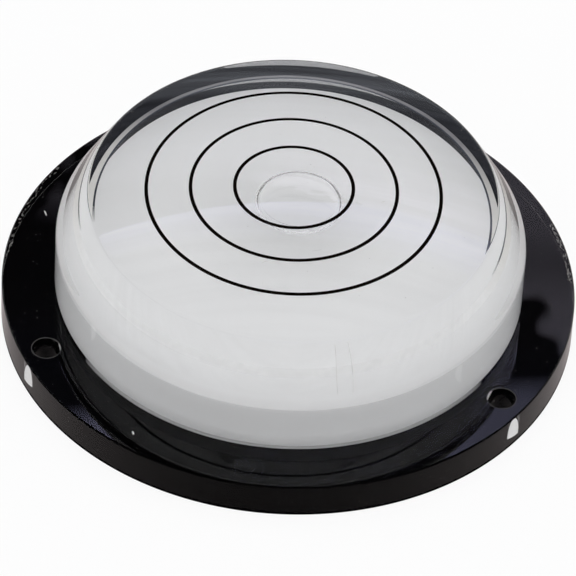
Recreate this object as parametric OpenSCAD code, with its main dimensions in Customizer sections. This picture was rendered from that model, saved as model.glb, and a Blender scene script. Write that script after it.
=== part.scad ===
// Bullseye level: one turned block of clear acrylic with a domed window, a conical
// flank and a flange with three screw holes. A bore from below holds the liquid and a
// white base plug. A black backing disc closes the underside.
// Origin at the middle of the underside, +Z up. All lengths in millimetres.

/* [Flange] */
// Width of the flange all round the wall
flange_w = 9.2; // [8:0.1:20]
// Height of the flange top above the underside, backing disc included
flange_h = 6.5; // [4:0.1:8]
// Distance from the middle of each screw hole to the flange edge
hole_inset = 4.5; // [3.5:0.1:6]
// Diameter of each screw hole
hole_d = 5; // [3:0.1:6]
// Number of screw holes
hole_count = 3; // [2:1:8]
// Width of the broken edge on the flange rim
edge_break = 0.25; // [0.1:0.05:0.8]

/* [Clear body] */
// Height of the middle of the dome above the underside
overall_h = 29.5; // [27:0.1:40]
// Diameter of the upright wall
wall_d = 81.6; // [72:0.1:95]
// Depth of the shoulder between wall and flank below the middle of the dome
crown_h = 11.6; // [10:0.1:14]
// Distance by which the flank leans in from the wall to the window rim
flank_run = 5.2; // [4.5:0.1:6.5]
// Spherical radius of the domed window
dome_r = 245; // [200:1:400]
// Radius of the rounded rim of the window
rim_round = 0.8; // [0.3:0.1:1.5]
// Radius of the blend at the shoulder
shoulder_round = 4; // [1:0.5:6]

/* [Liquid chamber] */
// Thickness of the upright wall around the bore that takes the plug
wall_t = 5.7; // [5.2:0.1:7]
// Width of the ground bevel between bore and concave ceiling
bevel_w = 1.1; // [0.5:0.1:4]
// Height of the ground bevel between bore and concave ceiling
bevel_h = 1.1; // [0.5:0.1:2]
// Thickness of the window at its middle
window_t = 6.2; // [4:0.1:7.5]
// Rise of the concave ceiling from the bevel to its middle
ceiling_sag = 3.8; // [2.5:0.1:5]
// Height of the liquid from the white floor to the bevel
chamber_h = 5.8; // [4:0.1:8]
// Diameter of the bubble
bubble_d = 13.8; // [8:0.1:16]
// Depth of the bubble below the ceiling
bubble_t = 2.6; // [1.5:0.1:4]
// Radius of the rounded lower edge of the bubble
bubble_round = 1.4; // [0.5:0.1:1.4]

/* [White base plug] */
// Gap all round between plug and bore
plug_gap = 0.05; // [0.02:0.01:0.1]
// Section diameter of the seal ring
seal_t = 1.8; // [1:0.1:2.5]
// Height of the middle of the seal ring above the underside
seal_h = 3.2; // [2.5:0.1:6]

/* [Backing disc] */
// Thickness of the black backing disc
backing_t = 0.5; // [0.3:0.1:1.5]

/* [Target rings] */
// Diameter of the inner ring
inner_ring_d = 20.4; // [16:0.1:24]
// Diameter of the middle ring
middle_ring_d = 35.6; // [30:0.1:42]
// Diameter of the outer ring
outer_ring_d = 50.8; // [46:0.1:60]
// Width of each ring line
line_w = 0.62; // [0.3:0.02:1]
// Depth of the engraved groove that holds the line
line_depth = 0.15; // [0.1:0.01:0.4]

/* [Hidden] */

// Facets on a full turn, on the large arcs of dome and ceiling, and on small rounds
turn_fn = 180;
arc_fn = 720;
small_fn = 64;
// Direction of the first screw hole from +X
first_hole = 90;
// Length by which a cutting shape runs past the face that it cuts
past = 1;

// Radii, from the wall outwards and inwards
wall_r = wall_d / 2;
flange_r = wall_r + flange_w;
hole_circle_r = flange_r - hole_inset;
window_r = wall_r - flank_run;
bore_r = wall_r - wall_t;
ceiling_r = bore_r - bevel_w;
bubble_r = bubble_d / 2;
plug_r = bore_r - plug_gap;

// Heights, from the middle of the dome down
shoulder_h = overall_h - crown_h;
ceiling_top = overall_h - window_t;
ceiling_edge_h = ceiling_top - ceiling_sag;
bevel_foot_h = ceiling_edge_h - bevel_h;
floor_h = bevel_foot_h - chamber_h;

// Height of the dome at radius r
function dome_z(r) = overall_h - dome_r + sqrt(dome_r * dome_r - r * r);

// Flank between the shoulder and the window rim, as a direction in the section
rim_p = [window_r, dome_z(window_r)];
shoulder_p = [wall_r, shoulder_h];
flank_v = (rim_p - shoulder_p) / norm(rim_p - shoulder_p);
flank_in = [-flank_v[1], flank_v[0]];
flank_tilt = atan2(flank_run, rim_p[1] - shoulder_h);

// Centre of the rim rounding, tangent inside to the flank and to the dome
dome_c = [0, overall_h - dome_r];
rim_o = rim_p + flank_in * rim_round - dome_c;
rim_b = rim_o * flank_v;
rim_s = -rim_b - sqrt(rim_b * rim_b - rim_o * rim_o + pow(dome_r - rim_round, 2));
rim_s2 = -rim_b + sqrt(rim_b * rim_b - rim_o * rim_o + pow(dome_r - rim_round, 2));
rim_c = dome_c + rim_o + flank_v * (abs(rim_s) < abs(rim_s2) ? rim_s : rim_s2);
rim_flank_p = rim_c - flank_in * rim_round;
rim_dome_p = rim_c + (rim_c - dome_c) / norm(rim_c - dome_c) * rim_round;

// Centre of the shoulder blend, tangent inside to the wall and to the flank
shoulder_t = shoulder_round * tan(flank_tilt / 2);
shoulder_c = [wall_r - shoulder_round, shoulder_h - shoulder_t];
shoulder_wall_p = [wall_r, shoulder_h - shoulder_t];
shoulder_flank_p = shoulder_p + flank_v * shoulder_t;

// Spherical radius of the concave ceiling over the liquid
ceiling_arc_r = (ceiling_r * ceiling_r + ceiling_sag * ceiling_sag) / (2 * ceiling_sag);

// Bubble: flat underneath with a rounded edge, open to the ceiling
bubble_z = ceiling_top - bubble_t;
bubble_flat_r = bubble_r - bubble_round;

// Point just outside a tangent corner, for cutting the corner away
function beyond(corner, centre) = corner + (corner - centre) / norm(corner - centre) * past;

// What lies outside an arc between its two tangent points
module corner_waste(from_p, corner, to_p, centre, r) {
    out = beyond(corner, centre);
    difference() {
        polygon([centre, from_p, beyond(from_p, centre), out, beyond(to_p, centre), to_p]);
        translate(centre) circle(r = r, $fn = turn_fn);
    }
}

// Half section of a full disc with both rim edges broken
module flange_section(bottom, top) {
    polygon([[0, bottom], [flange_r, bottom], [flange_r, top - edge_break],
             [flange_r - edge_break, top], [0, top]]);
}

// Half section of the wall, flank and domed window, before rounding
module upper_section() {
    flank_top = overall_h + past;
    flank_top_r = wall_r - (flank_top - shoulder_h) * tan(flank_tilt);
    intersection() {
        polygon([[0, backing_t], [wall_r, backing_t], shoulder_p,
                 [flank_top_r, flank_top], [0, flank_top]]);
        translate(dome_c) circle(r = dome_r, $fn = arc_fn);
    }
}

// Half section of the space under the ceiling, down to a given height
module chamber_section(bottom) {
    polygon([[0, bottom], [bore_r, bottom], [bore_r, bevel_foot_h],
             [ceiling_r, ceiling_edge_h], [0, ceiling_edge_h]]);
    intersection() {
        translate([0, ceiling_top - ceiling_arc_r]) circle(r = ceiling_arc_r, $fn = arc_fn);
        translate([0, bottom]) square([ceiling_r, ceiling_top - bottom + past]);
    }
}

// Height of the floor of the groove for a ring line
function groove_z(d) = dome_z(d / 2) - line_depth;

// Half section of the groove for one ring line, cut up past the dome
module groove_section(d) {
    translate([(d - line_w) / 2, groove_z(d)]) square([line_w, past]);
}

module screw_holes() {
    for (i = [0 : hole_count - 1])
        rotate([0, 0, first_hole + i * 360 / hole_count])
            translate([hole_circle_r, 0, -past])
                cylinder(d = hole_d, h = flange_h + 2 * past, $fn = small_fn);
}

// Clear body: window, flank, wall and flange turned as one piece
module clear_body() {
    color("aliceblue", 0.5)
    difference() {
        rotate_extrude($fn = turn_fn) difference() {
            union() {
                flange_section(backing_t, flange_h);
                upper_section();
            }
            chamber_section(-past);
            corner_waste(rim_flank_p, rim_p, rim_dome_p, rim_c, rim_round);
            corner_waste(shoulder_wall_p, shoulder_p, shoulder_flank_p,
                         shoulder_c, shoulder_round);
            groove_section(inner_ring_d);
            groove_section(middle_ring_d);
            groove_section(outer_ring_d);
        }
        screw_holes();
    }
}

// Liquid that fills the chamber around the bubble
module damping_liquid() {
    color("white", 0.4)
    rotate_extrude($fn = turn_fn) difference() {
        chamber_section(floor_h);
        translate([0, bubble_z + bubble_round])
            square([bubble_r, bubble_t]);
        translate([0, bubble_z])
            square([bubble_flat_r, bubble_t]);
        translate([bubble_flat_r, bubble_z + bubble_round])
            circle(r = bubble_round, $fn = small_fn);
    }
}

// White plug: its top is the floor under the bubble, with a groove for the seal
module base_plug() {
    color("white")
    rotate_extrude($fn = turn_fn) difference() {
        translate([0, backing_t]) square([plug_r, floor_h - backing_t]);
        translate([bore_r - seal_t, seal_h - seal_t / 2]) square([seal_t, seal_t]);
    }
}

// Seal ring in the groove of the plug
module seal_ring() {
    color("dimgray")
    rotate_extrude($fn = turn_fn)
        translate([bore_r - seal_t / 2, seal_h]) circle(d = seal_t, $fn = small_fn);
}

// Black disc bonded under the flange and the plug
module backing_disc() {
    color("black")
    difference() {
        cylinder(r = flange_r, h = backing_t, $fn = turn_fn);
        screw_holes();
    }
}

// Filled line of one target ring, flush with the dome at both edges
module ring_line(d) {
    r_in = (d - line_w) / 2;
    r_out = (d + line_w) / 2;
    color("black")
    rotate_extrude($fn = turn_fn)
        polygon([[r_in, groove_z(d)], [r_out, groove_z(d)],
                 [r_out, dome_z(r_out)], [r_in, dome_z(r_in)]]);
}

module inner_line() {
    ring_line(inner_ring_d);
}

module middle_line() {
    ring_line(middle_ring_d);
}

module outer_line() {
    ring_line(outer_ring_d);
}

clear_body();
damping_liquid();
base_plug();
seal_ring();
backing_disc();
inner_line();
middle_line();
outer_line();
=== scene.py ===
"""Bullseye level: looks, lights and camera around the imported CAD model.

The clear block, the liquid, the white plug and the black backing are turned from outlines that
take their sizes from the CAD nodes. Where the liquid wets the acrylic, the face of the clear
block carries the ratio of the two refractive indices, and the liquid's own outer face, a hair
inside it, lets light through unbent. White plug and black backing reach a hair into the block,
so that no film of air shows between them.
"""
import math

import bmesh
import bpy
from bpy.props import FloatProperty, FloatVectorProperty, IntProperty, PointerProperty
from mathutils import Matrix, Vector


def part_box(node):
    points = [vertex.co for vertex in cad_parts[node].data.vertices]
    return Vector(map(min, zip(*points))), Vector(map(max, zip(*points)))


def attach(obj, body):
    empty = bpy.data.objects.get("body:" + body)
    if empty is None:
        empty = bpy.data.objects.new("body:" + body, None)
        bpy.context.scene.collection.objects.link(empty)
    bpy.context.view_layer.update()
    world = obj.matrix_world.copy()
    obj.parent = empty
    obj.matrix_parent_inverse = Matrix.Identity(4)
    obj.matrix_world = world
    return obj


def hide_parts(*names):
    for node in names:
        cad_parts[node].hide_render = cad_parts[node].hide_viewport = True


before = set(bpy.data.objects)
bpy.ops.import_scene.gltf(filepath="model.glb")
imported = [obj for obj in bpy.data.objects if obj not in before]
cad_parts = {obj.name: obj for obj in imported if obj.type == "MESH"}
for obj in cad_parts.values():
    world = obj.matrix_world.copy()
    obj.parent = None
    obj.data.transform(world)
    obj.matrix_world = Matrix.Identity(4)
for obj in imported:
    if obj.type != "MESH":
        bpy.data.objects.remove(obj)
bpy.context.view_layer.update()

bl_info = {
    "name": "Bullseye Level",
    "version": (1, 0, 0),
    "blender": (4, 5, 0),
    "location": "3D View > Sidebar > Bullseye Level",
    "description": "Builds the dressed bullseye level, with its wear, table and lamp",
    "category": "Object",
}

MM = 0.001
BODY = "root"
ACRYLIC_IOR = 1.49
LIQUID_IOR = 1.38
WALL_R = 40.8 * MM
FLANGE_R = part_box("clear_body")[1].x
TOP_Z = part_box("clear_body")[1].z
BACKING_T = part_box("backing_disc")[1].z
BORE_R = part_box("damping_liquid")[1].x
FLOOR_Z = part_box("damping_liquid")[0].z
LINE_R = [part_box(node)[1].x for node in ("inner_line", "middle_line", "outer_line")]
# Gap that keeps the table clear of the underside
TABLE_GAP = 0.03 * MM
# Tolerance when places are compared
NEAR = 1e-6
# Angle between faces from which an edge shows sharp
SHARP = math.radians(20)
# Steps of the turned outlines
DOME_STEPS = 40
CEILING_STEPS = 40
DRY_STEPS = 10
RIM_STEPS = 10
SHOULDER_STEPS = 12
BUBBLE_STEPS = 20


def length(name, default, description):
    """A length property in metres."""
    return FloatProperty(name=name, description=description, default=default,
                         min=0.0, subtype="DISTANCE", unit="LENGTH", precision=5)


def colour(name, default, description):
    """A colour property."""
    return FloatVectorProperty(name=name, description=description, default=default,
                               size=3, min=0.0, max=1.0, subtype="COLOR")


class LevelSizes(bpy.types.PropertyGroup):
    """Sizes of the dressed level, in metres."""
    wall_r: length("Wall radius", WALL_R, "Radius of the upright wall")
    flange_r: length("Flange radius", FLANGE_R, "Radius of the flange")
    flange_h: length("Flange height", 6.5 * MM, "Height of the flange top above the underside")
    edge_break: length("Edge break", 0.25 * MM, "Width of the broken flange edge")
    top_z: length("Overall height", TOP_Z, "Height of the middle of the dome")
    crown_h: length("Crown height", 11.6 * MM, "Depth of the shoulder below the dome's middle")
    flank_run: length("Flank run", 5.2 * MM, "Distance by which the flank leans in")
    dome_r: length("Dome radius", 245 * MM, "Spherical radius of the window")
    rim_round: length("Rim rounding", 0.8 * MM, "Radius of the window rim")
    shoulder_round: length("Shoulder rounding", 4 * MM, "Radius of the shoulder blend")
    bore_r: length("Bore radius", BORE_R, "Radius of the bore for the plug")
    bevel_w: length("Bevel width", 1.1 * MM, "Width of the ground bevel round the ceiling")
    bevel_h: length("Bevel height", 1.1 * MM, "Height of the ground bevel round the ceiling")
    # The shaded edge of the ceiling carries painted shade, not a dark material.
    edge_line: length("Ceiling edge", 0.35 * MM, "Width of the shaded edge of the ceiling")
    window_t: length("Window thickness", 6.2 * MM, "Thickness of the window's middle")
    ceiling_sag: length("Ceiling rise", 3.8 * MM, "Rise of the concave ceiling")
    floor_z: length("Floor height", FLOOR_Z, "Height of the white floor")
    bubble_r: length("Bubble radius", 7.5 * MM, "Radius of the bubble at its widest")
    bubble_t: length("Bubble depth", 2.6 * MM, "Depth of the bubble below the ceiling")
    bubble_round: length("Bubble rounding", 1.22 * MM, "Radius of the bubble's edge")
    bubble_turn: FloatProperty(name="Bubble turn", default=math.radians(72), subtype="ANGLE",
                               description="Angle up to which the edge curls back inwards")
    bubble_right: length("Bubble to the right", 0.95 * MM, "Drift of the bubble along +X")
    bubble_back: length("Bubble to the back", 0.5 * MM, "Drift of the bubble along +Y")
    drift_end: length("End of the drift", 15 * MM, "Radius at which the drift has died away")
    backing_t: length("Backing thickness", BACKING_T, "Thickness of the black backing")
    seal_t: length("Seal thickness", 1.8 * MM, "Section of the seal ring")
    seal_z: length("Seal height", 3.2 * MM, "Height of the seal ring's middle")
    hole_r: length("Hole radius", 2.5 * MM, "Radius of a screw hole")
    hole_circle_r: length("Hole circle", 45.5 * MM, "Radius of the circle of the holes")
    hole_count: IntProperty(name="Holes", description="Number of screw holes", default=3, min=1)
    line_w: length("Line width", 0.62 * MM, "Width of a target ring line")
    line_depth: length("Line depth", 0.15 * MM, "Depth of a target ring line")
    bond: length("Bond depth", 0.012 * MM, "Reach of an inner piece into the clear block")


class LevelFinish(bpy.types.PropertyGroup):
    """Colours of the dressed level."""
    plug: colour("Plug", (0.95, 0.955, 0.965), "White base plug")
    backing: colour("Backing", (0.0012, 0.0012, 0.0014), "Black backing")
    line: colour("Ring lines", (0.003, 0.002, 0.0015), "Ink of the target rings")
    seal: colour("Seal", (0.62, 0.62, 0.63), "Seal ring")
    dust: colour("Dust", (0.26, 0.25, 0.24), "Dust and scuffs")
    scratch: colour("Scratches", (0.72, 0.71, 0.70), "Single scratches and lint")
    edge: colour("Ground edges", (0.03, 0.028, 0.028), "Fine edges of the screw holes")
    bevel: colour("Bevel", (0.78, 0.77, 0.745), "Ground bevel round the ceiling")
    floor: colour("Table", (0.80, 0.80, 0.80), "Table top")


# Plane geometry of the turned outlines, as points (radius, height)

def arc(centre, radius, start, end, steps):
    """Points on an arc from one angle to another, both ends included."""
    return [Vector((centre[0] + radius * math.cos(start + (end - start) * i / steps),
                    centre[1] + radius * math.sin(start + (end - start) * i / steps)))
            for i in range(steps + 1)]


def rounded(before, corner, after, radius, steps):
    """Points of a tangent arc that rounds the corner between two straight legs."""
    before, corner, after = Vector(before), Vector(corner), Vector(after)
    to_before = (before - corner).normalized()
    to_after = (after - corner).normalized()
    angle = to_before.angle(to_after)
    centre = corner + (to_before + to_after).normalized() * radius / math.sin(angle / 2)
    reach = radius / math.tan(angle / 2)
    first = corner + to_before * reach - centre
    last = corner + to_after * reach - centre
    start = math.atan2(first.y, first.x)
    turn = (math.atan2(last.y, last.x) - start + math.pi) % (2 * math.pi) - math.pi
    return arc(centre, radius, start, start + turn, steps)


def dome_z(sizes, radius):
    """Height of the window's outer face at a radius."""
    return sizes.top_z - sizes.dome_r + math.sqrt(sizes.dome_r ** 2 - radius ** 2)


def ceiling_radius(sizes):
    """Spherical radius of the concave ceiling."""
    reach = sizes.bore_r - sizes.bevel_w
    return (reach ** 2 + sizes.ceiling_sag ** 2) / (2 * sizes.ceiling_sag)


def ceiling_z(sizes, radius):
    """Height of the concave ceiling at a radius."""
    sphere = ceiling_radius(sizes)
    return sizes.top_z - sizes.window_t - sphere + math.sqrt(sphere ** 2 - radius ** 2)


def dry_radius(sizes):
    """Radius of the dry patch of the ceiling over the bubble."""
    return sizes.bubble_r - sizes.bubble_round * (1 - math.cos(sizes.bubble_turn))


def drifted(mesh, sizes):
    """Moves the bubble and the ceiling round it off the middle, along the ceiling."""
    under = sizes.top_z - sizes.window_t - sizes.bubble_t
    for vertex in mesh.vertices:
        out = vertex.co.xy.length
        if out < sizes.drift_end and under - NEAR < vertex.co.z < ceiling_z(sizes, out) + NEAR:
            share = min(1, (sizes.drift_end - out) / (sizes.drift_end - sizes.bubble_r))
            vertex.co.x += share * sizes.bubble_right
            vertex.co.y += share * sizes.bubble_back
            vertex.co.z += ceiling_z(sizes, vertex.co.xy.length) - ceiling_z(sizes, out)


def ceiling_line(sizes, start, inset):
    """Points along the ceiling from a radius to the bevel, down the bevel and the bore."""
    reach = sizes.bore_r - sizes.bevel_w
    edge = sizes.top_z - sizes.window_t - sizes.ceiling_sag
    points = []
    for i in range(CEILING_STEPS):
        radius = start + (reach - sizes.edge_line - start) * i / (CEILING_STEPS - 1)
        points.append(Vector((radius, ceiling_z(sizes, radius) - inset)))
    points.append(Vector((reach - inset / 2, edge - inset)))
    points.append(Vector((sizes.bore_r - inset, edge - sizes.bevel_h - inset / 2)))
    return points


# Meshes

def turned(name, outline, finish, segments=256, closed=False):
    """A piece turned about the Z axis from an outline of (radius, height) points."""
    work = bmesh.new()
    rings = []
    for radius, height in outline:
        if radius < NEAR:
            rings.append([work.verts.new((0, 0, height))])
        else:
            rings.append([work.verts.new((radius * math.cos(2 * math.pi * i / segments),
                                          radius * math.sin(2 * math.pi * i / segments), height))
                          for i in range(segments)])
    pairs = list(zip(rings[:-1], rings[1:]))
    if closed:
        pairs.append((rings[-1], rings[0]))
    for one, two in pairs:
        for i in range(segments):
            j = (i + 1) % segments
            corners = [one[i % len(one)], two[i % len(two)], two[j % len(two)], one[j % len(one)]]
            corners = list(dict.fromkeys(corners))
            if len(corners) > 2:
                work.faces.new(corners)
    bmesh.ops.recalc_face_normals(work, faces=work.faces)
    mesh = bpy.data.meshes.new(name)
    work.to_mesh(mesh)
    work.free()
    piece = bpy.data.objects.new(name, mesh)
    bpy.context.scene.collection.objects.link(piece)
    mesh.materials.append(finish)
    mesh.shade_smooth()
    mesh.set_sharp_from_angle(angle=SHARP)
    return piece


def applied(piece):
    """Turns the evaluated piece, with its modifiers, into its plain mesh."""
    bpy.context.view_layer.update()
    graph = bpy.context.evaluated_depsgraph_get()
    mesh = bpy.data.meshes.new_from_object(piece.evaluated_get(graph))
    old = piece.data
    piece.modifiers.clear()
    piece.data = mesh
    mesh.name = piece.name
    if old.users == 0:
        bpy.data.meshes.remove(old)
    return piece


def hole_centre(sizes, i):
    """Place of one screw hole; the first lies along +Y."""
    turn = math.radians(90 + 360 * i / sizes.hole_count)
    return sizes.hole_circle_r * math.cos(turn), sizes.hole_circle_r * math.sin(turn)


def drill_holes(piece, sizes):
    """Cuts the screw holes out of a piece, with drills that reach past it at both ends."""
    past = 1 * MM
    bottom, top = -past, sizes.flange_h + past
    work = bmesh.new()
    for i in range(sizes.hole_count):
        place = Matrix.Translation((*hole_centre(sizes, i), (bottom + top) / 2))
        bmesh.ops.create_cone(work, cap_ends=True, segments=96, radius1=sizes.hole_r,
                              radius2=sizes.hole_r, depth=top - bottom, matrix=place)
    mesh = bpy.data.meshes.new("drills")
    work.to_mesh(mesh)
    work.free()
    mesh.shade_smooth()
    drills = bpy.data.objects.new("drills", mesh)
    bpy.context.scene.collection.objects.link(drills)
    cut = piece.modifiers.new("holes", "BOOLEAN")
    cut.operation = "DIFFERENCE"
    cut.solver = "EXACT"
    cut.object = drills
    applied(piece)
    bpy.data.objects.remove(drills)
    bpy.data.meshes.remove(mesh)
    piece.data.set_sharp_from_angle(angle=SHARP)


# Node helpers

def node_tree(finish):
    """A material's node tree and its main shader."""
    finish.use_nodes = True
    return finish.node_tree, finish.node_tree.nodes["Principled BSDF"]


def add(tree, kind, inputs=(), **settings):
    """Adds a node, sets its attributes and links or sets its inputs by name or index."""
    node = tree.nodes.new(kind)
    for key, value in settings.items():
        setattr(node, key, value)
    for key, value in dict(inputs).items():
        if isinstance(value, bpy.types.NodeSocket):
            tree.links.new(value, node.inputs[key])
        else:
            node.inputs[key].default_value = value
    return node


def calc(tree, operation, *values):
    """The result of a Math node."""
    return add(tree, "ShaderNodeMath", dict(enumerate(values)), operation=operation).outputs[0]


def fade(tree, value, start, end, low=0.0, high=1.0):
    """The result of a Map Range node: low up to start, high from end on."""
    inputs = dict(enumerate((value, start, end, low, high)))
    return add(tree, "ShaderNodeMapRange", inputs).outputs[0]


def ramp(tree, value, stops):
    """A colour ramp through (position, grey level or colour) stops."""
    node = add(tree, "ShaderNodeValToRGB", {0: value})
    elements = node.color_ramp.elements
    while len(elements) < len(stops):
        elements.new(0.5)
    for element, (position, level) in zip(elements, stops):
        element.position = position
        element.color = (*level, 1) if isinstance(level, tuple) else (level, level, level, 1)
    return node.outputs[0]


def place_in(tree):
    """The Object coordinates, as a vector and as separate X, Y and Z sockets."""
    vector = add(tree, "ShaderNodeTexCoord").outputs["Object"]
    parts = add(tree, "ShaderNodeSeparateXYZ", {0: vector})
    return vector, parts.outputs


# Finishes

def clear_finish(name, ior):
    """A clear polished material with its refractive index."""
    finish = bpy.data.materials.new(name)
    shader = node_tree(finish)[1]
    shader.inputs["Base Color"].default_value = (1, 1, 1, 1)
    shader.inputs["Transmission Weight"].default_value = 1.0
    shader.inputs["IOR"].default_value = ior
    shader.inputs["Roughness"].default_value = 0.0
    return finish


def wet_acrylic(name):
    """The face of the acrylic under the liquid: both indices meet in one face."""
    return clear_finish(name, ACRYLIC_IOR / LIQUID_IOR)


def unbent():
    """The liquid's outer face, which only closes its mesh."""
    finish = bpy.data.materials.new("wetted_face")
    tree, shader = node_tree(finish)
    clear = add(tree, "ShaderNodeBsdfTransparent")
    tree.links.new(clear.outputs[0], tree.nodes["Material Output"].inputs[0])
    tree.nodes.remove(shader)
    return finish


def clear_acrylic():
    """Polished clear acrylic, with faint wear and a quieter shine on the flange."""
    finish = clear_finish("clear_acrylic", ACRYLIC_IOR)
    tree, shader = node_tree(finish)
    vector, parts = place_in(tree)
    low = fade(tree, parts[2], 6.6 * MM, 6.45 * MM)
    fine = add(tree, "ShaderNodeTexNoise", {"Vector": vector, "Scale": 260.0, "Detail": 4.0})
    wear = fade(tree, fine.outputs[0], 0.5, 0.8, 0.0, 0.015)
    tree.links.new(calc(tree, "MULTIPLY", low, wear), shader.inputs["Roughness"])
    tree.links.new(fade(tree, low, 0.0, 1.0, 1.0, 0.0), shader.inputs["Specular Tint"])
    return finish


def clear_liquid():
    """Clear damping liquid."""
    finish = clear_finish("clear_liquid", LIQUID_IOR)
    tree, shader = node_tree(finish)
    vector = place_in(tree)[0]
    cloud = add(tree, "ShaderNodeTexNoise", {"Vector": vector, "Scale": 30.0})
    tint = ramp(tree, cloud.outputs[0], [(0.0, (0.99, 0.995, 1.0)), (1.0, (0.995, 1.0, 1.0))])
    tree.links.new(tint, shader.inputs["Base Color"])
    return finish


def plain_finish(name, base, rough, scale, spread, shine=0.5):
    """An opaque finish whose colour and roughness vary a little from place to place."""
    finish = bpy.data.materials.new(name)
    tree, shader = node_tree(finish)
    shader.inputs["Specular IOR Level"].default_value = shine
    vector = place_in(tree)[0]
    noise = add(tree, "ShaderNodeTexNoise", {"Vector": vector, "Scale": scale, "Detail": 6.0})
    dark = tuple(channel * (1 - spread) for channel in base)
    light = tuple(min(1, channel * (1 + spread)) for channel in base)
    tint = ramp(tree, noise.outputs[0], [(0.3, dark), (0.7, light)])
    tree.links.new(tint, shader.inputs["Base Color"])
    gloss = fade(tree, noise.outputs[0], 0.3, 0.7, rough * 0.85, rough * 1.15)
    tree.links.new(gloss, shader.inputs["Roughness"])
    return finish


def ground_bevel(base):
    """The ground bevel, with painted light towards the front and painted shade that darkens it
    towards the back.
    """
    finish = plain_finish("ground_bevel", base, 0.5, 900.0, 0.02, shine=0.0)
    tree, shader = node_tree(finish)
    plain = shader.inputs["Base Color"].links[0].from_socket
    # Painted light and shade: the bevel's colour is lifted at the front and darkened towards the
    # back by its place along Y.
    back = fade(tree, place_in(tree)[1][1], -20 * MM, 30 * MM)
    painted_shade = ramp(tree, back, [(0.15, (1.19, 1.21, 1.26)), (0.40, 1.0),
                             (0.62, 0.80), (0.85, (0.30, 0.30, 0.32))])
    bevel_with_painted_shade = add(tree, "ShaderNodeMix", {0: 1.0, 6: plain, 7: painted_shade}, data_type="RGBA",
               blend_type="MULTIPLY")
    tree.links.new(bevel_with_painted_shade.outputs[2], shader.inputs["Base Color"])
    return finish


def edge_shade():
    """The edge of the ceiling: wet acrylic with a painted dark shade mixed in where it is seen from
    above, round the back.
    """
    finish = wet_acrylic("edge_shade")
    tree, shader = node_tree(finish)
    back = fade(tree, place_in(tree)[1][1], -7.5 * MM, -3 * MM)
    facing = add(tree, "ShaderNodeLayerWeight", {"Blend": 0.5}).outputs["Facing"]
    share = calc(tree, "MULTIPLY", back, fade(tree, facing, 0.30, 0.22))
    # Painted shade: a dark diffuse is mixed into the clear edge by place and by the angle at which
    # it is seen.
    dark = add(tree, "ShaderNodeBsdfDiffuse", {"Color": (0.05, 0.055, 0.07, 1)})
    mixed = add(tree, "ShaderNodeMixShader", {0: share, 1: shader.outputs[0],
                                              2: dark.outputs[0]})
    tree.links.new(mixed.outputs[0], tree.nodes["Material Output"].inputs[0])
    return finish


# Geometry Nodes trees

def started(name, inputs):
    """A new tree with named inputs, grouped by socket kind, and the sockets that give them."""
    tree = bpy.data.node_groups.new(name, "GeometryNodeTree")
    sockets = tree.interface
    sockets.new_socket("Geometry", in_out="INPUT", socket_type="NodeSocketGeometry")
    for kind, names in inputs.items():
        for title in names:
            sockets.new_socket(title, in_out="INPUT", socket_type="NodeSocket" + kind)
    sockets.new_socket("Geometry", in_out="OUTPUT", socket_type="NodeSocketGeometry")
    return tree, tree.nodes.new("NodeGroupInput").outputs


def ended(tree, geometry, finish):
    """Ends a tree in plain geometry with its material."""
    solid = add(tree, "GeometryNodeRealizeInstances", {0: geometry})
    dressed = add(tree, "GeometryNodeSetMaterial", {"Geometry": solid.outputs[0],
                                                    "Material": finish})
    tree.links.new(dressed.outputs[0], tree.nodes.new("NodeGroupOutput").inputs[0])
    return tree


def grown(name, tree, values):
    """Runs a Geometry Nodes tree with named input values and keeps its plain mesh."""
    piece = bpy.data.objects.new(name, bpy.data.meshes.new(name))
    bpy.context.scene.collection.objects.link(piece)
    made = piece.modifiers.new(name, "NODES")
    made.node_group = tree
    for item in tree.interface.items_tree:
        if item.item_type == "SOCKET" and item.in_out == "INPUT" and item.name in values:
            made[item.identifier] = values[item.name]
    return applied(piece)


def ring_tree(finish):
    """Geometry Nodes that sweep a target ring line round the window and lay it on the dome."""
    tree, given = started("target_ring", {"Float": ("Ring radius", "Line width", "Line depth",
                                                    "Line rise", "Dome radius", "Dome height")})
    path = add(tree, "GeometryNodeCurvePrimitiveCircle",
               {"Resolution": 256, "Radius": given["Ring radius"]}, mode="RADIUS")
    section = add(tree, "GeometryNodeCurvePrimitiveQuadrilateral",
                  {"Width": given["Line width"], "Height": given["Line depth"]},
                  mode="RECTANGLE")
    swept = add(tree, "GeometryNodeCurveToMesh",
                {"Curve": path.outputs[0], "Profile Curve": section.outputs[0]})
    place = add(tree, "GeometryNodeInputPosition").outputs[0]
    across, back = add(tree, "ShaderNodeSeparateXYZ", {0: place}).outputs[:2]
    square = calc(tree, "MULTIPLY", across, across)
    square = calc(tree, "MULTIPLY_ADD", back, back, square)
    dome = calc(tree, "MULTIPLY", given["Dome radius"], given["Dome radius"])
    under = calc(tree, "SUBTRACT", dome, square)
    root = calc(tree, "SQRT", under)
    lift = calc(tree, "SUBTRACT", root, given["Dome radius"])
    half = calc(tree, "MULTIPLY_ADD", given["Line depth"], -0.5, lift)
    raised = calc(tree, "ADD", half, given["Line rise"])
    height = calc(tree, "ADD", raised, given["Dome height"])
    offset = add(tree, "ShaderNodeCombineXYZ", {2: height})
    laid = add(tree, "GeometryNodeSetPosition",
               {"Geometry": swept.outputs[0], "Offset": offset.outputs[0]})
    return ended(tree, laid.outputs[0], finish)


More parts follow.
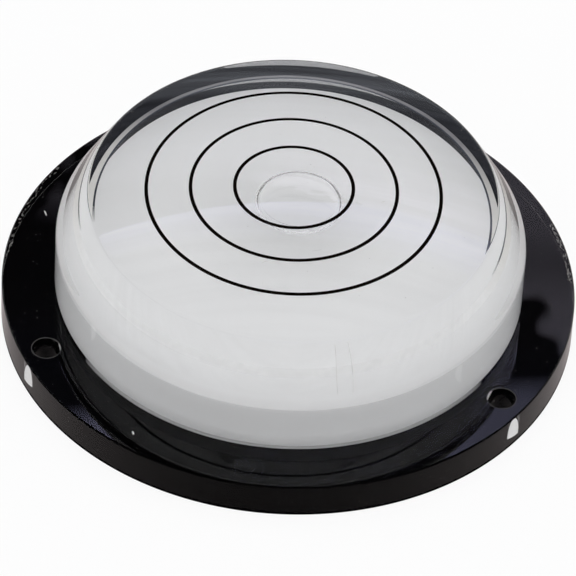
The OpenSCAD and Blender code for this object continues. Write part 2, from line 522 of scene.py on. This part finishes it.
def speck_tree(finish):
    """Geometry Nodes that strew specks over a turned band, seeded and of random size."""
    tree, given = started("specks", {
        "Int": ("Count", "Seed"),
        "Float": ("Radius from", "Radius to", "Height from", "Height to", "Fall", "Turn from",
                  "Turn to", "Size from", "Size to", "Stretch", "Flatness")})

    def chance(low, high, shift):
        """A random value between two bounds, with its own share of the seed."""
        seed = calc(tree, "ADD", given["Seed"], shift)
        return add(tree, "FunctionNodeRandomValue", {"Min": low, "Max": high, "Seed": seed},
                   data_type="FLOAT").outputs["Value"]

    share = chance(0.0, 1.0, 0)
    turn = chance(given["Turn from"], given["Turn to"], 1)
    out = fade(tree, share, 0.0, 1.0, given["Radius from"], given["Radius to"])
    fall = calc(tree, "POWER", share, given["Fall"])
    high = fade(tree, fall, 0.0, 1.0, given["Height from"], given["Height to"])
    place = []
    for kind in ("COSINE", "SINE"):
        wave = calc(tree, kind, turn)
        place.append(calc(tree, "MULTIPLY", wave, out))
    spot = add(tree, "ShaderNodeCombineXYZ", {0: place[0], 1: place[1], 2: high})
    points = add(tree, "GeometryNodePoints", {"Count": given["Count"],
                                              "Position": spot.outputs[0]})
    size = chance(given["Size from"], given["Size to"], 2)
    wide = calc(tree, "MULTIPLY", size, given["Stretch"])
    flat = calc(tree, "MULTIPLY", size, given["Flatness"])
    scale = add(tree, "ShaderNodeCombineXYZ", {0: wide, 1: size, 2: flat})
    spin = calc(tree, "ADD", turn, chance(1.2, 1.9, 3))
    face = add(tree, "ShaderNodeCombineXYZ", {2: spin})
    grain = add(tree, "GeometryNodeMeshIcoSphere", {"Radius": 1.0, "Subdivisions": 2})
    strewn = add(tree, "GeometryNodeInstanceOnPoints",
                 {"Points": points.outputs[0], "Instance": grain.outputs[0],
                  "Rotation": face.outputs[0], "Scale": scale.outputs[0]})
    return ended(tree, strewn.outputs[0], finish)


def scratch_tree(finish):
    """Geometry Nodes that draw one fine scratch along a curve between two points."""
    tree, given = started("scratch", {"Vector": ("Start", "Start handle", "End handle", "End"),
                                      "Float": ("Thickness",)})
    path = add(tree, "GeometryNodeCurvePrimitiveBezierSegment",
               {"Resolution": 24, "Start": given["Start"], "Start Handle": given["Start handle"],
                "End Handle": given["End handle"], "End": given["End"]})
    section = add(tree, "GeometryNodeCurvePrimitiveCircle",
                  {"Resolution": 6, "Radius": given["Thickness"]}, mode="RADIUS")
    swept = add(tree, "GeometryNodeCurveToMesh",
                {"Curve": path.outputs[0], "Profile Curve": section.outputs[0],
                 "Fill Caps": True})
    return ended(tree, swept.outputs[0], finish)


# Operators

class LevelPiece(bpy.types.Operator):
    """Base of the operators that build a piece."""
    bl_options = {"REGISTER", "UNDO"}

    def settings(self, context):
        """Sizes and finish of the scene."""
        return context.scene.level_sizes, context.scene.level_finish

    def seat(self, piece, slot, *nodes):
        """Lets a piece ride on the level and stand for its CAD nodes."""
        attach(piece, BODY)
        if nodes:
            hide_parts(*nodes)


class LEVEL_OT_clear_block(LevelPiece):
    """Turn the clear block: window, rim, flank, wall and flange around the liquid chamber"""
    bl_idname = "level.clear_block"
    bl_label = "Clear block"

    def execute(self, context):
        sizes, finish = self.settings(context)
        rim = (sizes.wall_r - sizes.flank_run, dome_z(sizes, sizes.wall_r - sizes.flank_run))
        shoulder = (sizes.wall_r, sizes.top_z - sizes.crown_h)
        inside = rim[0] - 1.0 * MM
        outline = []
        for i in range(DOME_STEPS + 1):
            radius = inside * i / DOME_STEPS
            outline.append(Vector((radius, dome_z(sizes, radius))))
        outline += rounded(outline[-1], rim, shoulder, sizes.rim_round, RIM_STEPS)
        outline += rounded(rim, shoulder, (sizes.wall_r, sizes.flange_h),
                           sizes.shoulder_round, SHOULDER_STEPS)
        outline += [Vector((sizes.wall_r, sizes.flange_h)),
                    Vector((sizes.flange_r - sizes.edge_break, sizes.flange_h)),
                    Vector((sizes.flange_r, sizes.flange_h - sizes.edge_break)),
                    Vector((sizes.flange_r, sizes.backing_t)),
                    Vector((sizes.bore_r, sizes.backing_t)),
                    Vector((sizes.bore_r, sizes.floor_z))]
        dry = dry_radius(sizes)
        outline += reversed(ceiling_line(sizes, dry, 0))
        for i in range(1, DRY_STEPS + 1):
            radius = dry * (1 - i / DRY_STEPS)
            outline.append(Vector((radius, ceiling_z(sizes, radius))))
        block = turned("clear_block", outline, clear_acrylic())
        for extra in (wet_acrylic("wet_acrylic"), ground_bevel(finish.bevel), edge_shade()):
            block.data.materials.append(extra)
        wet_face, bevel_face, shaded_face = 1, 2, 3
        reach = sizes.bore_r - sizes.bevel_w
        edge = sizes.top_z - sizes.window_t - sizes.ceiling_sag
        for face in block.data.polygons:
            out, up = face.center.xy.length, face.center.z
            if sizes.floor_z < up < ceiling_z(sizes, min(out, reach)) + NEAR:
                if dry < out < sizes.bore_r + NEAR:
                    face.material_index = wet_face
                    # The ceiling's edge carries the painted dark shade.
                    if reach - sizes.edge_line < out < reach:
                        face.material_index = shaded_face
                    # The bevel takes its painted light and painted shade from its place along Y.
                    if reach < out and edge - sizes.bevel_h < up < edge:
                        face.material_index = bevel_face
        drifted(block.data, sizes)
        drill_holes(block, sizes)
        self.seat(block, "clear_acrylic", "clear_body")
        return {"FINISHED"}


class LEVEL_OT_liquid(LevelPiece):
    """Turn the liquid that fills the chamber, with the hollow of the bubble under the ceiling"""
    bl_idname = "level.liquid"
    bl_label = "Liquid and bubble"

    def execute(self, context):
        sizes = self.settings(context)[0]
        under = sizes.top_z - sizes.window_t - sizes.bubble_t
        flat = sizes.bubble_r - sizes.bubble_round
        bubble = [Vector((0, under)), Vector((flat / 2, under))]
        bubble += arc((flat, under + sizes.bubble_round), sizes.bubble_round,
                      -math.pi / 2, sizes.bubble_turn, BUBBLE_STEPS)
        dry = dry_radius(sizes)
        outline = bubble + ceiling_line(sizes, dry, sizes.bond)
        outline += [Vector((sizes.bore_r - sizes.bond, sizes.floor_z + sizes.bond)),
                    Vector((0, sizes.floor_z + sizes.bond))]
        liquid = turned("liquid", outline, clear_liquid())
        liquid.data.materials.append(unbent())
        outer_face = 1
        for face in liquid.data.polygons:
            out, up = face.center.xy.length, face.center.z
            wetted = out > dry and up > ceiling_z(sizes, out) - 3 * sizes.bond
            if wetted or out > sizes.bubble_r or up < under - sizes.bond:
                face.material_index = outer_face
        drifted(liquid.data, sizes)
        self.seat(liquid, "clear_liquid", "damping_liquid")
        return {"FINISHED"}


class LEVEL_OT_plug(LevelPiece):
    """Turn the white base plug, whose top is the floor under the bubble"""
    bl_idname = "level.plug"
    bl_label = "White plug"

    def execute(self, context):
        sizes, finish = self.settings(context)
        side = sizes.bore_r + 2 * sizes.bond
        groove = sizes.bore_r - sizes.seal_t
        outline = [Vector((0, sizes.floor_z)), Vector((side, sizes.floor_z)),
                   Vector((side, sizes.seal_z + sizes.seal_t / 2)),
                   Vector((groove, sizes.seal_z + sizes.seal_t / 2)),
                   Vector((groove, sizes.seal_z - sizes.seal_t / 2)),
                   Vector((side, sizes.seal_z - sizes.seal_t / 2)),
                   Vector((side, sizes.backing_t)), Vector((0, sizes.backing_t))]
        white = plain_finish("white_plug", finish.plug, 0.6, 60.0, 0.012, shine=0.0)
        self.seat(turned("plug", outline, white), "white_plug", "base_plug")
        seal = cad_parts["seal_ring"]
        rubber = plain_finish("seal_rubber", finish.seal, 0.6, 400.0, 0.05)
        for place in seal.material_slots:
            place.material = rubber
        return {"FINISHED"}


class LEVEL_OT_backing(LevelPiece):
    """Turn the black backing under the flange and the plug"""
    bl_idname = "level.backing"
    bl_label = "Black backing"

    def execute(self, context):
        sizes, finish = self.settings(context)
        top = sizes.backing_t + sizes.bond
        inner = sizes.bore_r + 3 * sizes.bond
        side = sizes.flange_r - 0.01 * MM
        outline = [Vector((0, sizes.backing_t)), Vector((inner, sizes.backing_t)),
                   Vector((inner, top)), Vector((side, top)), Vector((side, 0)), Vector((0, 0))]
        black = plain_finish("black_backing", finish.backing, 0.5, 180.0, 0.15, shine=0.0)
        backing = turned("backing", outline, black)
        drill_holes(backing, sizes)
        self.seat(backing, "black_backing", "backing_disc")
        return {"FINISHED"}


class LEVEL_OT_ring_lines(LevelPiece):
    """Sweep the three filled target ring lines on the dome"""
    bl_idname = "level.ring_lines"
    bl_label = "Target ring lines"

    def execute(self, context):
        sizes, finish = self.settings(context)
        ink = plain_finish("line_ink", finish.line, 0.6, 2500.0, 0.4, shine=0.0)
        tree = ring_tree(ink)
        for name, node, outer in zip(("inner_ring", "middle_ring", "outer_ring"),
                                     ("inner_line", "middle_line", "outer_line"), LINE_R):
            ring = grown(name, tree, {
                "Ring radius": outer - sizes.line_w / 2, "Line width": sizes.line_w,
                "Line depth": sizes.line_depth, "Line rise": 0.006 * MM,
                "Dome radius": sizes.dome_r, "Dome height": sizes.top_z})
            ring.data.set_sharp_from_angle(angle=SHARP)
            self.seat(ring, "line_ink", node)
        return {"FINISHED"}


class LEVEL_OT_wear(LevelPiece):
    """Strew dust, edge scuffs and scratches as an older level carries them"""
    bl_idname = "level.wear"
    bl_label = "Dust, scuffs and scratches"

    def execute(self, context):
        sizes, finish = self.settings(context)
        dust = plain_finish("dust", finish.dust, 0.8, 800.0, 0.2, shine=0.2)
        pale = plain_finish("pale_scratch", finish.scratch, 0.8, 800.0, 0.1, shine=0.2)
        tree = speck_tree(dust)
        top = (sizes.flange_h, sizes.flange_h)
        edge = dome_z(sizes, 34 * MM)
        self.strew("flange_dust", tree, 90, 11, (41.2, 49.6), top, (150, 390),
                   (0.025, 0.075), 1.3, 0.15)
        self.strew("side_dust", tree, 90, 23, (49.95, 49.96), (0.9 * MM, 6.1 * MM), (180, 360),
                   (0.02, 0.06), 1.0, 1.0)
        self.strew("dome_dust", tree, 55, 37, (2.0, 34.0), (sizes.top_z, edge), (0, 360),
                   (0.015, 0.045), 1.6, 0.15, fall=2.0)
        self.strew("rim_dust", tree, 40, 41, (34.4, 35.2), (edge - 0.02 * MM, edge - 0.08 * MM),
                   (20, 170), (0.02, 0.06), 2.0, 0.2)
        self.strew("left_scuffs", tree, 60, 53, (49.0, 49.62), top, (152, 182),
                   (0.03, 0.09), 4.0, 0.08)
        self.strew("right_scuffs", tree, 60, 67, (49.0, 49.65), top, (9, 27),
                   (0.03, 0.10), 4.2, 0.08)
        self.scratches(pale)
        return {"FINISHED"}

    def strew(self, name, tree, count, seed, radii, heights, turns, grains, stretch, flatness,
              fall=1.0):
        """A band of specks: radii and grains in mm, turns in degrees, a little sunk in."""
        sink = 0.01 * MM
        piece = grown(name, tree, {
            "Count": count, "Seed": seed,
            "Radius from": radii[0] * MM, "Radius to": radii[1] * MM,
            "Height from": heights[0] - sink, "Height to": heights[1] - sink, "Fall": fall,
            "Turn from": math.radians(turns[0]), "Turn to": math.radians(turns[1]),
            "Size from": grains[0] * MM, "Size to": grains[1] * MM,
            "Stretch": stretch, "Flatness": flatness})
        self.seat(piece, None)

    def scratches(self, finish):
        """Single scratches: four points each, as turn in degrees, radius and height in mm, then
        the thickness in mm."""
        tree = scratch_tree(finish)
        lines = (((-68.7, 35.90, 26.33), (-68.2, 37.2, 24.1), (-67.9, 39.2, 20.7),
                  (-68.6, 40.42, 18.45), 0.050),
                 ((-72.3, 36.00, 26.14), (-72.0, 37.1, 24.2), (-72.5, 38.7, 21.5),
                  (-72.3, 40.32, 18.65), 0.030),
                 ((-72.4, 15.86, 28.98), (-70, 15.9, 28.98), (-68, 15.9, 28.98),
                  (-65.9, 15.74, 28.99), 0.022),
                 ((-99.7, 19.41, 28.73), (-99, 19.0, 28.76), (-98, 18.8, 28.77),
                  (-97.2, 18.68, 28.78), 0.030),
                 ((-4.4, 15.3, 29.01), (-4.0, 15.5, 29.0), (-3.5, 15.6, 29.0),
                  (-3.2, 15.8, 28.98), 0.060),
                 ((-118.5, 46.2, 6.5), (-118.3, 46.3, 6.5), (-118.1, 46.4, 6.5),
                  (-117.9, 46.6, 6.5), 0.14),
                 ((166.9, 45.3, 6.5), (166.5, 45.5, 6.5), (166.1, 45.8, 6.5),
                  (165.8, 46.0, 6.5), 0.10))
        for i, (*points, thickness) in enumerate(lines):
            spots = []
            for turn, out, up in points:
                spots.append((out * MM * math.cos(math.radians(turn)),
                              out * MM * math.sin(math.radians(turn)), up * MM))
            piece = grown("scratch_%d" % (i + 1), tree, {
                "Start": spots[0], "Start handle": spots[1], "End handle": spots[2],
                "End": spots[3], "Thickness": thickness * MM})
            self.seat(piece, None)


class LEVEL_OT_hole_edges(LevelPiece):
    """Turn the fine ground edge at the mouth of each screw hole"""
    bl_idname = "level.hole_edges"
    bl_label = "Screw hole edges"

    def execute(self, context):
        sizes, finish = self.settings(context)
        ground = plain_finish("ground_edge", finish.edge, 0.5, 1500.0, 0.5, shine=0.5)
        inner, outer = sizes.hole_r - 0.01 * MM, sizes.hole_r + 0.11 * MM
        top = sizes.flange_h + 0.004 * MM
        foot = top - 0.09 * MM
        outline = [Vector((inner, top)), Vector((outer, top)), Vector((inner, foot))]
        for i in range(sizes.hole_count):
            ring = turned("hole_edge_%d" % (i + 1), outline, ground, 96, closed=True)
            ring.data.transform(Matrix.Translation((*hole_centre(sizes, i), 0)))
            self.seat(ring, None)
        return {"FINISHED"}


class LEVEL_OT_stage(bpy.types.Operator):
    """Lay the table, hang the lamp and set the camera"""
    bl_idname = "level.stage"
    bl_label = "Table, lamp and camera"

    def execute(self, context):
        finish = context.scene.level_finish
        self.table(finish)
        self.surroundings(context)
        self.lamp("overhead_lamp", (0.0, 0.35, 1.25), 1.0, 4.0)
        self.camera(context)
        context.scene.view_settings.view_transform = "Standard"
        return {"FINISHED"}

    def table(self, finish):
        """A plain pale table that shows white, and keeps a soft shadow round the level; mirrored
        rays see a painted shadow, darker and warmer near the level.
        """
        pale = bpy.data.materials.new("table")
        tree, shader = node_tree(pale)
        shader.inputs["Base Color"].default_value = (*finish.floor, 1)
        shader.inputs["Roughness"].default_value = 0.9
        rays = add(tree, "ShaderNodeLightPath")
        camera, glossy, through = (rays.outputs[name] for name in (
            "Is Camera Ray", "Is Glossy Ray", "Is Transmission Ray"))
        seen = calc(tree, "ADD", camera, calc(tree, "ADD", glossy, through))
        share = calc(tree, "MULTIPLY", calc(tree, "MINIMUM", seen, 1.0), 0.9)
        # Painted shadow: for mirrored rays, the table darkens and warms towards the level by
        # distance alone.
        reach = add(tree, "ShaderNodeVectorMath", {0: place_in(tree)[0]}, operation="LENGTH")
        away = add(tree, "ShaderNodeMapRange", {0: reach.outputs["Value"], 1: 55 * MM, 2: 130 * MM},
                   interpolation_type="SMOOTHSTEP")
        painted_shade = ramp(tree, away.outputs[0], [(0.0, (0.46, 0.41, 0.405)), (1.0, 1.0)])
        mirrored = add(tree, "ShaderNodeMix", {0: glossy, 6: (1, 1, 1, 1), 7: painted_shade},
                       data_type="RGBA")
        level = add(tree, "ShaderNodeMix", {0: through, 6: mirrored.outputs[2],
                                            7: (0.68, 0.68, 0.68, 1)}, data_type="RGBA")
        white = add(tree, "ShaderNodeEmission", {"Color": level.outputs[2], "Strength": 1.0})
        mixed = add(tree, "ShaderNodeMixShader", {0: share, 1: shader.outputs[0],
                                                  2: white.outputs[0]})
        tree.links.new(mixed.outputs[0], tree.nodes["Material Output"].inputs[0])
        mesh = bpy.data.meshes.new("table")
        side = 4.0
        corners = [(x * side, y * side, -TABLE_GAP)
                   for x, y in ((-1, -1), (1, -1), (1, 1), (-1, 1))]
        mesh.from_pydata(corners, [], [(0, 1, 2, 3)])
        mesh.materials.append(pale)
        table = bpy.data.objects.new("table", mesh)
        bpy.context.scene.collection.objects.link(table)

    def surroundings(self, context):
        """A pale room: white to the camera, banded where it is mirrored, plain for soft light."""
        world = bpy.data.worlds.new("room")
        context.scene.world = world
        world.use_nodes = True
        tree = world.node_tree
        soft = tree.nodes["Background"]
        soft.inputs["Color"].default_value = (0.97, 0.98, 1.0, 1)
        soft.inputs["Strength"].default_value = 0.9
        rays = add(tree, "ShaderNodeLightPath")
        direction = add(tree, "ShaderNodeTexCoord").outputs["Generated"]
        parts = add(tree, "ShaderNodeSeparateXYZ", {0: direction}).outputs
        shade = ramp(tree, parts[2], [
            (0.0, 0.5), (0.30, 0.46), (0.44, (0.44, 0.46, 0.52)), (0.48, (0.46, 0.48, 0.54)),
            (0.51, (0.20, 0.21, 0.25)), (0.62, (0.20, 0.20, 0.24)),
            (0.665, (0.62, 0.58, 0.70)), (0.695, (0.62, 0.58, 0.70)),
            (0.70, (0.8, 0.8, 1.2)), (0.725, (0.7, 0.7, 1.0)),
            (0.76, 0.40), (0.84, 0.46), (1.0, 0.5)])
        layers = add(tree, "ShaderNodeMapping", {0: direction, "Scale": (2.0, 2.0, 46.0)})
        noise = add(tree, "ShaderNodeTexNoise", {"Vector": layers.outputs[0], "Scale": 1.6,
                                                 "Detail": 3.0})
        power = fade(tree, noise.outputs[0], 0.35, 0.65, 1.3, 2.7)
        power = calc(tree, "MULTIPLY", power, self.dark_band(tree, direction, parts))
        room = add(tree, "ShaderNodeBackground", {"Color": shade, "Strength": power})
        sides = fade(tree, calc(tree, "ABSOLUTE", parts[0]), 0.1, 0.8, 0.93, 1.65)
        plain = add(tree, "ShaderNodeBackground", {"Color": (1, 1, 1, 1), "Strength": sides})
        shown = add(tree, "ShaderNodeBackground", {"Color": (1, 1, 1, 1), "Strength": 1.0})
        mixed = soft
        for ray, light in (("Is Glossy Ray", room), ("Is Transmission Ray", plain),
                           ("Is Camera Ray", shown)):
            mixed = add(tree, "ShaderNodeMixShader", {0: rays.outputs[ray], 1: mixed.outputs[0],
                                                      2: light.outputs[0]})
        tree.links.new(mixed.outputs[0], tree.nodes["World Output"].inputs[0])

    def dark_band(self, tree, direction, parts):
        """A dark slanted band of the room, with a torn lower edge, that the flange mirrors."""
        fine = add(tree, "ShaderNodeMapping", {0: direction, "Scale": (1.0, 1.0, 1.6)})
        noise = add(tree, "ShaderNodeTexNoise", {"Vector": fine.outputs[0], "Scale": 90.0,
                                                 "Detail": 1.5})
        torn = fade(tree, noise.outputs[0], 0.35, 0.65, -0.006, 0.006)
        slant = calc(tree, "MULTIPLY_ADD", parts[0], -0.18, parts[2])
        under = fade(tree, calc(tree, "ADD", slant, torn), 0.6925, 0.6965, 1.0, 0.0)
        left = fade(tree, parts[0], -0.11, -0.05, 0.25, 1.0)
        high = fade(tree, parts[2], 0.62, 0.655)
        dim = add(tree, "ShaderNodeMix", {0: high, 2: 1.0, 3: left}, data_type="FLOAT")
        under = calc(tree, "MULTIPLY", under, dim.outputs[0])
        slant = calc(tree, "MULTIPLY_ADD", parts[0], 0.09, parts[2])
        both = calc(tree, "MAXIMUM", under, fade(tree, slant, 0.6985, 0.7015))
        return calc(tree, "MAXIMUM", both, 0.03)

    def lamp(self, name, place, side, power):
        """A square soft lamp that points at the level."""
        light = bpy.data.lights.new(name, "AREA")
        light.shape = "SQUARE"
        light.size = side
        light.energy = power
        lamp = bpy.data.objects.new(name, light)
        lamp.location = place
        lamp.rotation_euler = (-Vector(place)).to_track_quat("-Z", "Y").to_euler()
        lamp.visible_glossy = False
        lamp.visible_transmission = False
        bpy.context.scene.collection.objects.link(lamp)

    def camera(self, context):
        """A long lens, 43 degrees above the table, with a small roll."""
        picture_px, focus_px, aim_right_px, aim_down_px = 576, 6136.3, 0.23, 102.2
        distance, elevation, roll, turn = 1.05465, 0.7473, 0.0581, math.radians(4.25)
        back = Vector((0, -math.cos(elevation), math.sin(elevation)))
        right = Vector((1, 0, 0))
        up = back.cross(right)
        aim = Vector((aim_right_px, aim_down_px, focus_px)).normalized()
        tilt = Matrix.Rotation(math.acos(aim.z), 3, Vector((0, 0, 1)).cross(aim).normalized())
        across, upward, away = tilt @ Matrix((right, up, -back))
        x = across * math.cos(roll) + upward * math.sin(roll)
        y = upward * math.cos(roll) - across * math.sin(roll)
        pose = Matrix((x, y, -away)).transposed().to_4x4()
        pose.translation = back * distance + Vector((0, 0, TOP_Z))
        camera = bpy.data.cameras.new("camera")
        camera.sensor_width = 36
        camera.lens = focus_px * camera.sensor_width / picture_px
        camera.clip_start = 0.05
        holder = bpy.data.objects.new("camera", camera)
        holder.matrix_world = Matrix.Rotation(turn, 4, "Z") @ pose
        context.scene.collection.objects.link(holder)
        context.scene.camera = holder


class LEVEL_PT_panel(bpy.types.Panel):
    """Lists the pieces of the level in the sidebar"""
    bl_idname = "LEVEL_PT_panel"
    bl_label = "Bullseye level"
    bl_space_type = "VIEW_3D"
    bl_region_type = "UI"
    bl_category = "Bullseye Level"

    def draw(self, context):
        for step in STEPS:
            self.layout.operator(step.bl_idname)
        for group in (context.scene.level_sizes, context.scene.level_finish):
            box = self.layout.box()
            for key in group.bl_rna.properties.keys():
                if key not in ("rna_type", "name"):
                    box.prop(group, key)


STEPS = (LEVEL_OT_clear_block, LEVEL_OT_liquid, LEVEL_OT_plug, LEVEL_OT_backing,
         LEVEL_OT_ring_lines, LEVEL_OT_hole_edges, LEVEL_OT_wear, LEVEL_OT_stage)
CLASSES = (LevelSizes, LevelFinish, *STEPS, LEVEL_PT_panel)


def register():
    """Registers the classes and the scene's settings."""
    for kind in CLASSES:
        bpy.utils.register_class(kind)
    bpy.types.Scene.level_sizes = PointerProperty(type=LevelSizes)
    bpy.types.Scene.level_finish = PointerProperty(type=LevelFinish)


def unregister():
    """Removes the settings and the classes."""
    del bpy.types.Scene.level_finish
    del bpy.types.Scene.level_sizes
    for kind in reversed(CLASSES):
        bpy.utils.unregister_class(kind)


def main():
    """Builds the level and its studio."""
    register()
    for step in STEPS:
        group, name = step.bl_idname.split(".")
        getattr(getattr(bpy.ops, group), name)()


if __name__ == "__main__":
    main()
